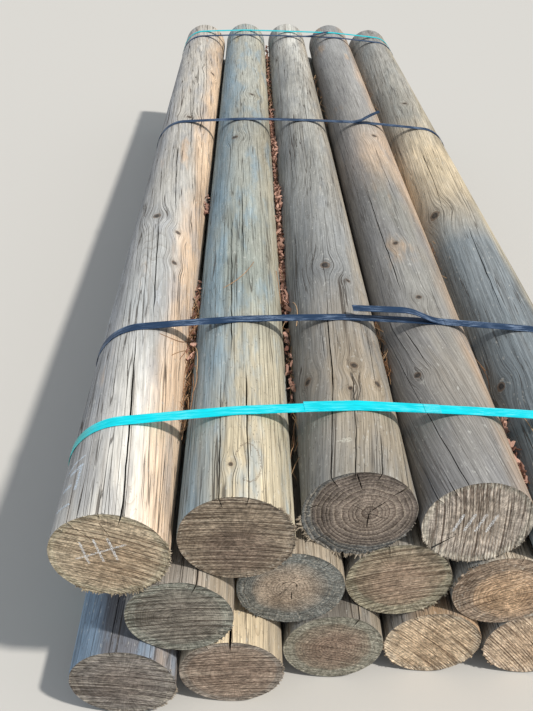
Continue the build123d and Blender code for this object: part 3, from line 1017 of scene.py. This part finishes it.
def woodSide(name, look, seed):
    material, tree, shader = startMaterial(name + "_peeled")
    space = readSpace(tree, "logSpace")
    x, along, z = parts(space)
    radius = ends[name][0][1]
    angle = calc("ARCTAN2", x, z)
    around = angle * radius

    def aroundAt(degrees, place):
        # where an angle on the log stands in the turned space of the grain
        own = (degrees - alongPoints(look["turn"], place) + 180) % 360 - 180
        return math.radians(own) * radius

    knotted, ringed, bend = 0.0, 0.0, 0.0
    for degrees, place, size in look["knots"]:
        mark = useGroup(
            knotGroup, Around=around, Along=along, KnotAround=aroundAt(degrees, place), KnotAlong=place,
            Size=size * mm,
        )
        knotted = calc("MAXIMUM", mark["Mask"], knotted)
        ringed = calc("MAXIMUM", mark["Ring"], ringed)
        bend = mark["Bend"] + bend
    aside = combine(calc("COSINE", angle) * bend, 0.0, calc("SINE", angle) * (bend * -1.0))
    ramp = addNode("ValToRGB", [along / logForm["length"]])
    stops = ramp.color_ramp.elements
    while len(stops) < len(look["tones"]):
        stops.new(0.5)
    for stop, (place, colour) in zip(stops, look["tones"]):
        stop.position = place / logForm["length"]
        stop.color = (*colour, 1)
    wood = useGroup(
        woodGroup, Place=vectorCalc("ADD", space, aside), Outward=readSpace(tree, "roundWay"),
        Tone=Wire(ramp.outputs[0]), Seed=float(seed), Knot=knotted, Ring=ringed,
        Slit=readSpace(tree, "checkDepth", "Fac"),
        **ownValues(look, "Cool Warm Patch PatchShare Mottle Waves Stripes Hairlines Grime Fibres CoolShare"),
    )
    colour = wood["Color"]
    for angle0, along0, angle1, along1, width in look["scrawl"]:
        stroke = useGroup(
            chalkGroup, Place=combine(around, 0.0, along), From=(aroundAt(angle0, along0), 0, along0),
            To=(aroundAt(angle1, along1), 0, along1), Width=width * mm,
        )
        colour = mixAt(stroke["Mask"] * look["scrawlShare"], colour, (*look["scrawlTone"], 1))
    plug(colour, shader.inputs["Base Color"])
    plug(wood["Rough"], shader.inputs["Roughness"])
    addBump(shader, wood["Height"], 0.0011)
    return material


def woodEnd(name, look, seed):
    material, tree, shader = startMaterial(name + "_sawn")
    space = readSpace(tree, "logSpace")
    pithX, pithZ = look["pith"]
    leanX, leanZ = look["rimLean"]
    pitch = look["sawPitch"]
    sawn = useGroup(
        sawnGroup, Place=space, Seed=float(seed), Radius=ends[name][0][1],
        PithX=pithX * mm, PithZ=pithZ * mm, LeanX=leanX, LeanZ=leanZ,
        RingStep=look["ringStep"] * mm, SawTurn=math.radians(look["sawTurn"]),
        Groove=0.8 if pitch else 0.0, Pitch=(pitch or 5.0) * mm, Slit=readSpace(tree, "crackDepth", "Fac"),
        **ownValues(look, "Heart Sap Rim RingDepth SawRate SawDepth Star Stain RimWidth"),
    )
    colour = sawn["Color"]
    if look["chalk"]:
        chalked = 0.0
        for x0, z0, x1, z1, width in look["chalk"]:
            stroke = useGroup(
                chalkGroup, Place=space, From=(x0 * mm, 0, z0 * mm), To=(x1 * mm, 0, z1 * mm),
                Width=width * mm,
            )
            chalked = calc("MAXIMUM", stroke["Mask"], chalked)
        frontOnly = calc("LESS_THAN", parts(space)[1], 0.5)
        colour = mixAt(chalked * frontOnly, colour, finishTones["chalk"])
    plug(colour, shader.inputs["Base Color"])
    shader.inputs["Roughness"].default_value = 0.85
    addBump(shader, sawn["Height"], 0.0015)
    return material


def makeLogs():
    for k, (name, own) in enumerate(logLooks.items()):
        look = {**logBase, **own}
        piece = buildLog(name, look, k + 1)
        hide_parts(name)
        print(name, sum(len(p.vertices) - 2 for p in piece.data.polygons), "triangles")


# The straps: flat loops drawn tight round the outer logs, with a lap or a loose end. off shifts a place
# along x from a log's middle; a tail bends up by rise degrees on a radius of bend, runs on and levels off
outerLogs = ["log_bottom_1", "log_bottom_5"] + [f"log_top_{k}" for k in range(1, 6)]
strapForm = {"width": 0.019, "thick": 0.0009, "slack": 0.0003, "arcStep": 4.0, "longest": 0.025}
strapLooks = {
    "strap_teal_front": {
        "colour": (0.0, 0.74, 0.88), "scuff": (0.55, 0.85, 0.86), "scuffs": 0.25,
        # over the left flank of log_top_1 the strap darkens to a greener tone: partly ageing, partly painted
        # shade
        "agedAndShadedLeft": {"log": "log_top_1", "from": 0.30, "to": 0.80, "tone": (0.17, 0.46, 0.38)},
        "lap": {
            "from": ("log_top_2", "log_top_3", -0.013), "to": ("log_top_4", "log_top_4", -0.031),
            "skew": 0.0035,
        },
    },
    "strap_dark_front": {
        "colour": (0.015, 0.044, 0.105), "scuff": (0.34, 0.45, 0.64), "scuffs": 0.62,
        "tail": {
            "log": "log_top_4", "off": 0.015, "way": -1, "bend": 0.09, "rise": 20, "slope": 0.02, "level": 22,
            "end": 0.085,
        },
    },
    "strap_dark_middle": {
        "colour": (0.016, 0.044, 0.105), "scuff": (0.34, 0.45, 0.62), "scuffs": 0.6,
        "tail": {
            "log": "log_top_4", "off": -0.042, "way": 1, "bend": 0.07, "rise": 32, "slope": 0.02, "level": 6,
            "end": 0.02,
        },
    },
    "strap_dark_back": {
        "colour": (0.016, 0.048, 0.115), "scuff": (0.34, 0.45, 0.64), "scuffs": 0.4,
        "tail": {
            "log": "log_top_3", "off": 0.055, "way": 1, "bend": 0.15, "rise": 16, "slope": 0.025, "level": 4,
            "end": 0.02,
        },
    },
    "strap_teal_back": {"colour": (0.0, 0.60, 0.68), "scuff": (0.5, 0.8, 0.8), "scuffs": 0.3},
}
weldLength = 0.025


def fitCourse(name):
    # least-squares parabola through the underside's points: y = a + b x + c x x
    places = [v.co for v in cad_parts[name].data.vertices]
    flat = {(round(co.x, 5), round(co.y, 5)) for co in places if co.z < 0.0005}
    matrix = Matrix(((0, 0, 0), (0, 0, 0), (0, 0, 0)))
    target = Vector((0, 0, 0))
    for x, y in flat:
        powers = Vector((1, x, x * x))
        for i in range(3):
            target[i] += powers[i] * y
            for j in range(3):
                matrix[i][j] += powers[i] * powers[j]
    a, b, c = matrix.inverted() @ target
    return lambda x: a + b * x + c * x * x


def tightLine(course, standOff):
    # points (x, z) of the line drawn tight round the outer logs, counter-clockwise from the lowest left one
    points = []
    for log in outerLogs:
        nearX = circleAt(log, course(0))[0]
        x, z, radius = circleAt(log, course(nearX))
        reach = radius + standOff
        step = strapForm["arcStep"]
        for k in range(int(360 / step)):
            a = math.radians(k * step)
            points.append((x + reach * math.sin(a), z + reach * math.cos(a)))
    points.sort()

    def turn(o, a, b):
        return (a[0] - o[0]) * (b[1] - o[1]) - (a[1] - o[1]) * (b[0] - o[0])

    chains = []
    for ordered in (points, points[::-1]):
        chain = []
        for point in ordered:
            while len(chain) > 1 and turn(chain[-2], chain[-1], point) <= 0:
                chain.pop()
            chain.append(point)
        chains.append(chain[:-1])
    line = chains[0] + chains[1]
    dense = []
    for start, stop in zip(line, line[1:] + line[:1]):
        (x0, z0), (x1, z1) = start, stop
        pieces = max(1, math.ceil(math.dist(start, stop) / strapForm["longest"]))
        for k in range(pieces):
            dense.append((x0 + (x1 - x0) * k / pieces, z0 + (z1 - z0) * k / pieces))
    return dense


def longCone(bm, segments, steps, capped):
    # an upright prism of unit length cut into steps; returns its own vertices, the ones not placed yet
    placed = bm.verts.layers.int["placed"]
    made = bmesh.ops.create_cone(
        bm, cap_ends=capped, cap_tris=False, segments=segments, radius1=1, radius2=1, depth=1
    )
    edges = {edge for vert in made["verts"] for edge in vert.link_edges}
    sides = [edge for edge in edges if edge.verts[0].co.z * edge.verts[1].co.z < 0]
    bmesh.ops.subdivide_edges(bm, edges=sides, cuts=steps - 1, use_grid_fill=True)
    fresh = [vert for vert in bm.verts if vert[placed] == 0]
    for vert in fresh:
        vert[placed] = 1
    return fresh


def bandAlong(bm, path, closed, alongStart=0.0, layer=0.0):
    # a flat band along path, a list of (point, outward), its four corners a rectangle of the strap's section
    count = len(path)
    steps = count if closed else count - 1
    own = longCone(bm, 4, steps, not closed)
    space = bm.verts.layers.float_vector["strapSpace"]
    reach = [alongStart]
    for k in range(1, steps + 1):
        reach.append(reach[-1] + (path[k % count][0] - path[k - 1][0]).length)
    for vert in own:
        ring = round((0.5 - vert.co.z) * steps)
        corner = round(math.atan2(vert.co.y, vert.co.x) / (math.pi / 2)) % 4
        point, outward = path[ring % count]
        before = path[(ring - 1) % count][0] if closed or ring > 0 else point
        after = path[(ring + 1) % count][0] if closed or ring < steps else point
        forward = (after - before).normalized()
        across = forward.cross(outward).normalized()
        half = strapForm["width"] / 2
        side = (-half, -half, half, half)[corner]
        lift = (0.0, strapForm["thick"], strapForm["thick"], 0.0)[corner]
        vert.co = point + across * side + outward * lift
        vert[space] = (reach[ring], side, layer)
    if closed:
        bmesh.ops.remove_doubles(bm, verts=own, dist=1e-6)


def tailPath(tail, course, line):
    # the loose end: welded down flat, bent up, then levelled off
    joint = circleAt(tail["log"], course(0))[0] + tail["off"]
    halfUp = circleAt("log_middle_2", 0)[1]
    spans = zip(line, line[1:])
    (x0, z0), (x1, z1) = next((p, q) for p, q in spans if p[0] > joint >= q[0] and p[1] > halfUp)
    share = (joint - x0) / (x1 - x0)
    start = Vector((joint, course(joint), z0 + (z1 - z0) * share))
    run = Vector((x1 - x0, course(x1) - course(x0), z1 - z0)).normalized()
    run *= 1 if run.x * tail["way"] > 0 else -1
    up = Vector((z0 - z1, 0, x1 - x0)).normalized()
    up *= 1 if up.z > 0 else -1
    flat = [(-weldLength, 0.0, 0.0), (0.0, 0.0, 0.0)]
    place, angle = [0.0, 0.0], 0.0

    def bendBy(degrees):
        nonlocal angle
        steps = max(2, round(abs(degrees) / 3))
        for _ in range(steps):
            turn = math.radians(degrees / steps)
            length = tail["bend"] * abs(turn)
            place[0] += length * math.cos(angle + turn / 2)
            place[1] += length * math.sin(angle + turn / 2)
            angle += turn
            flat.append((place[0], place[1], angle))

    def runOn(length):
        for _ in range(3):
            place[0] += length / 3 * math.cos(angle)
            place[1] += length / 3 * math.sin(angle)
            flat.append((place[0], place[1], angle))

    bendBy(tail["rise"])
    runOn(tail["slope"])
    bendBy(-tail["level"])
    runOn(tail["end"])
    return [(start + run * s + up * h, up * math.cos(a) - run * math.sin(a)) for s, h, a in flat]


def liftLine(line, course, spanned=None):
    # the line as points in space with their outward directions
    path = []
    count = len(line)
    for k, (x, z) in enumerate(line):
        (x0, z0), (x1, z1) = line[k - 1], line[(k + 1) % count]
        outward = Vector((z1 - z0, 0, x0 - x1)).normalized()
        if spanned is None or (spanned[0] <= x <= spanned[1] and outward.z > 0.5):
            path.append((Vector((x, course(x), z)), outward))
    return path


def lapEnd(course, left, right, off):
    # x of an end of the lap, set off from half-way between two logs
    return (circleAt(left, course(0))[0] + circleAt(right, course(0))[0]) / 2 + off


def makeStraps():
    for name, look in strapLooks.items():
        course = fitCourse(name)
        bm = bmesh.new()
        bm.verts.layers.float_vector.new("strapSpace")
        bm.verts.layers.int.new("placed")
        line = tightLine(course, strapForm["slack"])
        bandAlong(bm, liftLine(line, course), True)
        second = tightLine(course, strapForm["slack"] + strapForm["thick"] * 0.9)
        if "lap" in look:
            edges = [lapEnd(course, *look["lap"][key]) for key in ("from", "to")]

            def askew(x):
                return course(x) + look["lap"]["skew"] * smooth((edges[1] - x) / (edges[1] - edges[0]))

            bandAlong(bm, liftLine(second, askew, edges), False, layer=1.0)
        if "tail" in look:
            bandAlong(bm, tailPath(look["tail"], course, second), False, layer=1.0)
        bmesh.ops.recalc_face_normals(bm, faces=bm.faces)
        for face in bm.faces:
            face.smooth = True
        piece = finishPiece(bm, name + "_band", [strapMaterial(name, look)])
        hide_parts(name)
    print("straps made")


def strapMaterial(name, look):
    material, tree, shader = startMaterial(name + "_plastic")
    space = readSpace(tree, "strapSpace")
    along, _, layer = parts(space)
    across = parts(vectorCalc("MULTIPLY", space, (1500, 1500, 0)))
    cells = calc("SINE", across[0]) * calc("SINE", across[1])
    drag = noiseAt(vectorCalc("MULTIPLY", space, (30, 260, 1)), 1.0, 4, 0.7)
    spots = noiseAt(vectorCalc("MULTIPLY", space, (11, 11, 1)), 1.0, 2)
    grit = noiseAt(vectorCalc("MULTIPLY", space, (700, 700, 1)), 1.0, 3, 0.7)
    worn = stepAt(drag, 0.47, 0.60) * stepAt(spots, 0.40, 0.56)
    worn = worn * stepAt(grit, 0.35, 0.6, 0.4, 1.0) * look["scuffs"]
    scuff = (*look["scuff"], 1)
    colour = gain((*look["colour"], 1), stepAt(drag, 0.3, 0.7, 0.84, 1.14))
    colour = mixAt(worn, colour, scuff)
    pressed = layer * stepAt(along, weldLength, weldLength - 0.002) * stepAt(grit, 0.42, 0.6)
    colour = mixAt(pressed * 0.35, colour, mixAt(0.5, colour, scuff))
    edged = layer * stepAt(abs(along - weldLength), 0.0004, 0.0010, 0.6, 0.0)
    colour = shade(colour, edged, finishTints["weldEdge"])
    # the strap darkens to a greener tone over its log's left flank: partly ageing, partly painted shade
    if "agedAndShadedLeft" in look:
        agedAndShadedLeft = look["agedAndShadedLeft"]  # from and to are shares of the log's radius, to the left of its middle
        x, _, radius = circleAt(agedAndShadedLeft["log"], 0.0)
        place = parts(objectPlace(tree))[0]
        leftward = stepAt(place, x - agedAndShadedLeft["from"] * radius, x - agedAndShadedLeft["to"] * radius, 0.0, 0.85)
        colour = mixAt(leftward * stepAt(drag, 0.35, 0.6, 1.0, 0.5), colour, (*agedAndShadedLeft["tone"], 1))
    plug(colour, shader.inputs["Base Color"])
    plug(stepAt(drag, 0.3, 0.7, 0.45, 0.65), shader.inputs["Roughness"])
    addBump(shader, cells + pressed * 2.0, 0.00012, 0.6)
    return material


# Litter caught between the top logs: bark chips and dry pine needles
litterLook = {
    "first": 0.1,  # metres behind the front of the CAD box, where the heaps are measured from
    # heaps in a valley: the two logs, from and to in metres, count
    "chips": [
        ("log_top_2", "log_top_3", 0.5, 1.7, 1250), ("log_top_2", "log_top_3", 0.2, 2.6, 350),
        ("log_top_1", "log_top_2", 0.3, 0.6, 60), ("log_top_1", "log_top_2", 0.9, 1.0, 20),
        ("log_top_4", "log_top_5", 0.05, 0.2, 40),
    ],
    "needles": [
        ("log_top_1", "log_top_2", 0.15, 0.5, 90), ("log_top_2", "log_top_3", 0.05, 0.5, 16),
        ("log_top_2", "log_top_3", 0.6, 2.4, 70), ("log_top_3", "log_top_4", 0.3, 0.48, 30),
        ("log_top_3", "log_top_4", 1.6, 2.2, 14), ("log_top_4", "log_top_5", 0.1, 2.2, 40),
    ],
    # single needles on a log's face: three places (degrees from the top, metres from the front end)
    "strays": [
        ("log_top_2", (-26, 0.530), (-4, 0.559), (15, 0.628)),
        ("log_top_1", (62, 0.445), (44, 0.416), (20, 0.408)),
        ("log_top_1", (66, 0.424), (50, 0.392), (40, 0.368)),
        ("log_top_1", (70, 0.440), (60, 0.405), (53, 0.376)),
        ("log_top_2", (-70, 0.345), (-60, 0.298), (-66, 0.268)),
        ("log_top_2", (-72, 0.40), (-64, 0.36), (-62, 0.31)),
        ("log_top_1", (74, 0.40), (66, 0.35), (72, 0.29)),
        ("log_top_1", (78, 0.36), (69, 0.31), (67, 0.27)),
        ("log_top_2", (-74, 0.33), (-67, 0.27), (-72, 0.22)),
        ("log_top_2", (58, 0.66), (66, 0.61), (70, 0.56)),
        ("log_top_3", (-66, 0.50), (-58, 0.46), (-62, 0.41)),
        ("log_top_5", (-62, 0.22), (-50, 0.20), (-44, 0.15)),
    ],
    "chipSize": (0.003, 0.0105), "chipFlat": 0.14,
    "needleLength": (0.04, 0.11), "needleThick": 0.0007, "strayThick": 0.0008,
    "chipTones": ((0.17, 0.075, 0.055), (0.66, 0.40, 0.31)),
    "needleTones": ((0.34, 0.17, 0.09), (0.66, 0.46, 0.28)),
}


def valleyAt(left, right, y, opening):
    # a place in the valley between two logs, where it is as wide as opening
    xa, za, ra = circleAt(left, y)
    xb, zb, rb = circleAt(right, y)
    apart = Vector((xb - xa, 0, zb - za))
    gap = apart.length - ra - rb
    level = apart.normalized()
    up = Vector((-level.z, 0, level.x))
    rise = math.sqrt(max(opening - gap, 0.0005) * 2 * ra * rb / (ra + rb))
    return Vector((xa, y, za)) + level * (ra + gap / 2) + up * rise, level, up


def makeLitter():
    rng = random.Random(77)
    firstY = cadBox[0].y + litterLook["first"]
    flat = litterLook["chipFlat"]
    bm = bmesh.new()
    tone = bm.verts.layers.float.new("litterTone")
    placed = bm.verts.layers.int.new("placed")
    for left, right, start, stop, count in litterLook["chips"]:
        for _ in range(count):
            size = rng.uniform(*litterLook["chipSize"])
            along = start + (stop - start) * rng.random()
            heap = 0.6 + 0.9 * noise.noise(Vector((along * 5.5, 2.0, 7.0)))
            y = firstY + along
            opening = 0.005 + 0.019 * max(heap, 0.0) * rng.random()
            place, level, up = valleyAt(left, right, y, opening)
            place += level * rng.uniform(-0.35, 0.35) * opening + up * 0.001
            shape = Matrix.Translation(place)
            for most, axis in ((0.9, "Z"), (0.7, "X"), (1.2, "Y")):
                shape = shape @ Matrix.Rotation(rng.uniform(-most, most), 4, axis)
            wide, long = rng.uniform(0.25, 0.55), rng.uniform(0.6, 1.7)
            shape = shape @ Matrix.Diagonal((size * wide, size * long, size * flat, 1))
            made = bmesh.ops.create_icosphere(bm, subdivisions=1, radius=1.0, matrix=shape)
            value = rng.random() * 0.49
            for vert in made["verts"]:
                vert.co += Vector([rng.uniform(-1, 1) for _ in range(3)]) * size * flat
                vert[tone] = value
                vert[placed] = 1
    for left, right, start, stop, count in litterLook["needles"]:
        for _ in range(count):
            y = firstY + start + (stop - start) * rng.random()
            length = rng.uniform(*litterLook["needleLength"])
            place, level, up = valleyAt(left, right, y, rng.uniform(0.004, 0.012))
            heading = Vector((rng.gauss(0, 0.16), rng.choice((-1, 1)), rng.gauss(0, 0.04))).normalized()
            bow = rng.uniform(-0.012, 0.012)
            own = longCone(bm, 3, 6, True)
            value = 0.51 + rng.random() * 0.49
            for vert in own:
                share = vert.co.z + 0.5
                thick = litterLook["needleThick"] * (1.05 - 0.6 * share)
                centre = place + heading * length * (share - 0.5) + level * bow * (1 - (2 * share - 1) ** 2)
                centre += up * 0.004 * (1 + math.cos(share * 3))
                vert.co = centre + level * vert.co.x * thick + up * vert.co.y * thick
                vert[tone] = value
    for log, *route in litterLook["strays"]:
        own = longCone(bm, 3, 10, True)
        value = 0.51 + rng.random() * 0.49
        for vert in own:
            share = vert.co.z + 0.5
            weights = ((1 - share) * (1 - 2 * share), 4 * share * (1 - share), share * (2 * share - 1))
            angle = math.radians(sum(w * degrees for w, (degrees, _) in zip(weights, route)))
            y = ends[log][0][0].y + sum(w * along for w, (_, along) in zip(weights, route))
            x, z, radius = circleAt(log, y)
            outward, aside = waysAt(angle)
            centre = Vector((x, y, z)) + outward * (radius + 0.0004)
            vert.co = centre + (aside * vert.co.x + outward * vert.co.y) * litterLook["strayThick"]
            vert[tone] = value
    bmesh.ops.recalc_face_normals(bm, faces=bm.faces)
    piece = finishPiece(bm, "valley_litter", [litterMaterial()], 60.0)
    print("litter", len(piece.data.polygons), "faces")


def litterMaterial():
    material, tree, shader = startMaterial("dry_litter")
    tone = readSpace(tree, "litterTone", "Fac")
    grit = noiseAt(objectPlace(tree), 900.0, 3, 0.6)
    chips, needles = litterLook["chipTones"], litterLook["needleTones"]
    chip = mixAt(stepAt(tone, 0.0, 0.5), (*chips[0], 1), (*chips[1], 1))
    needle = mixAt(stepAt(tone, 0.5, 1.0), (*needles[0], 1), (*needles[1], 1))
    colour = mixAt(calc("GREATER_THAN", tone, 0.5), chip, needle)
    plug(gain(colour, stepAt(grit, 0.3, 0.7, 0.7, 1.2)), shader.inputs["Base Color"])
    shader.inputs["Roughness"].default_value = 0.8
    addBump(shader, grit, 0.0004)
    return material


floorLook = {"colour": (0.62, 0.61, 0.59, 1), "size": 60.0, "rough": 0.9}


def makeFloor(look):
    bm = bmesh.new()
    bmesh.ops.create_grid(bm, x_segments=2, y_segments=2, size=look["size"] / 2)
    mesh = bpy.data.meshes.new("floor")
    bm.to_mesh(mesh)
    bm.free()
    floor = addObject("floor", mesh)
    material, _, shader = startMaterial("pale_floor")
    shader.inputs["Base Color"].default_value = look["colour"]
    shader.inputs["Roughness"].default_value = look["rough"]
    mesh.materials.append(material)


makeCamera(cameraLook)
makeLight(lightLook)
makeFloor(floorLook)
makeLogs()
makeStraps()
makeLitter()

bpy.context.scene.view_settings.view_transform = "Standard"
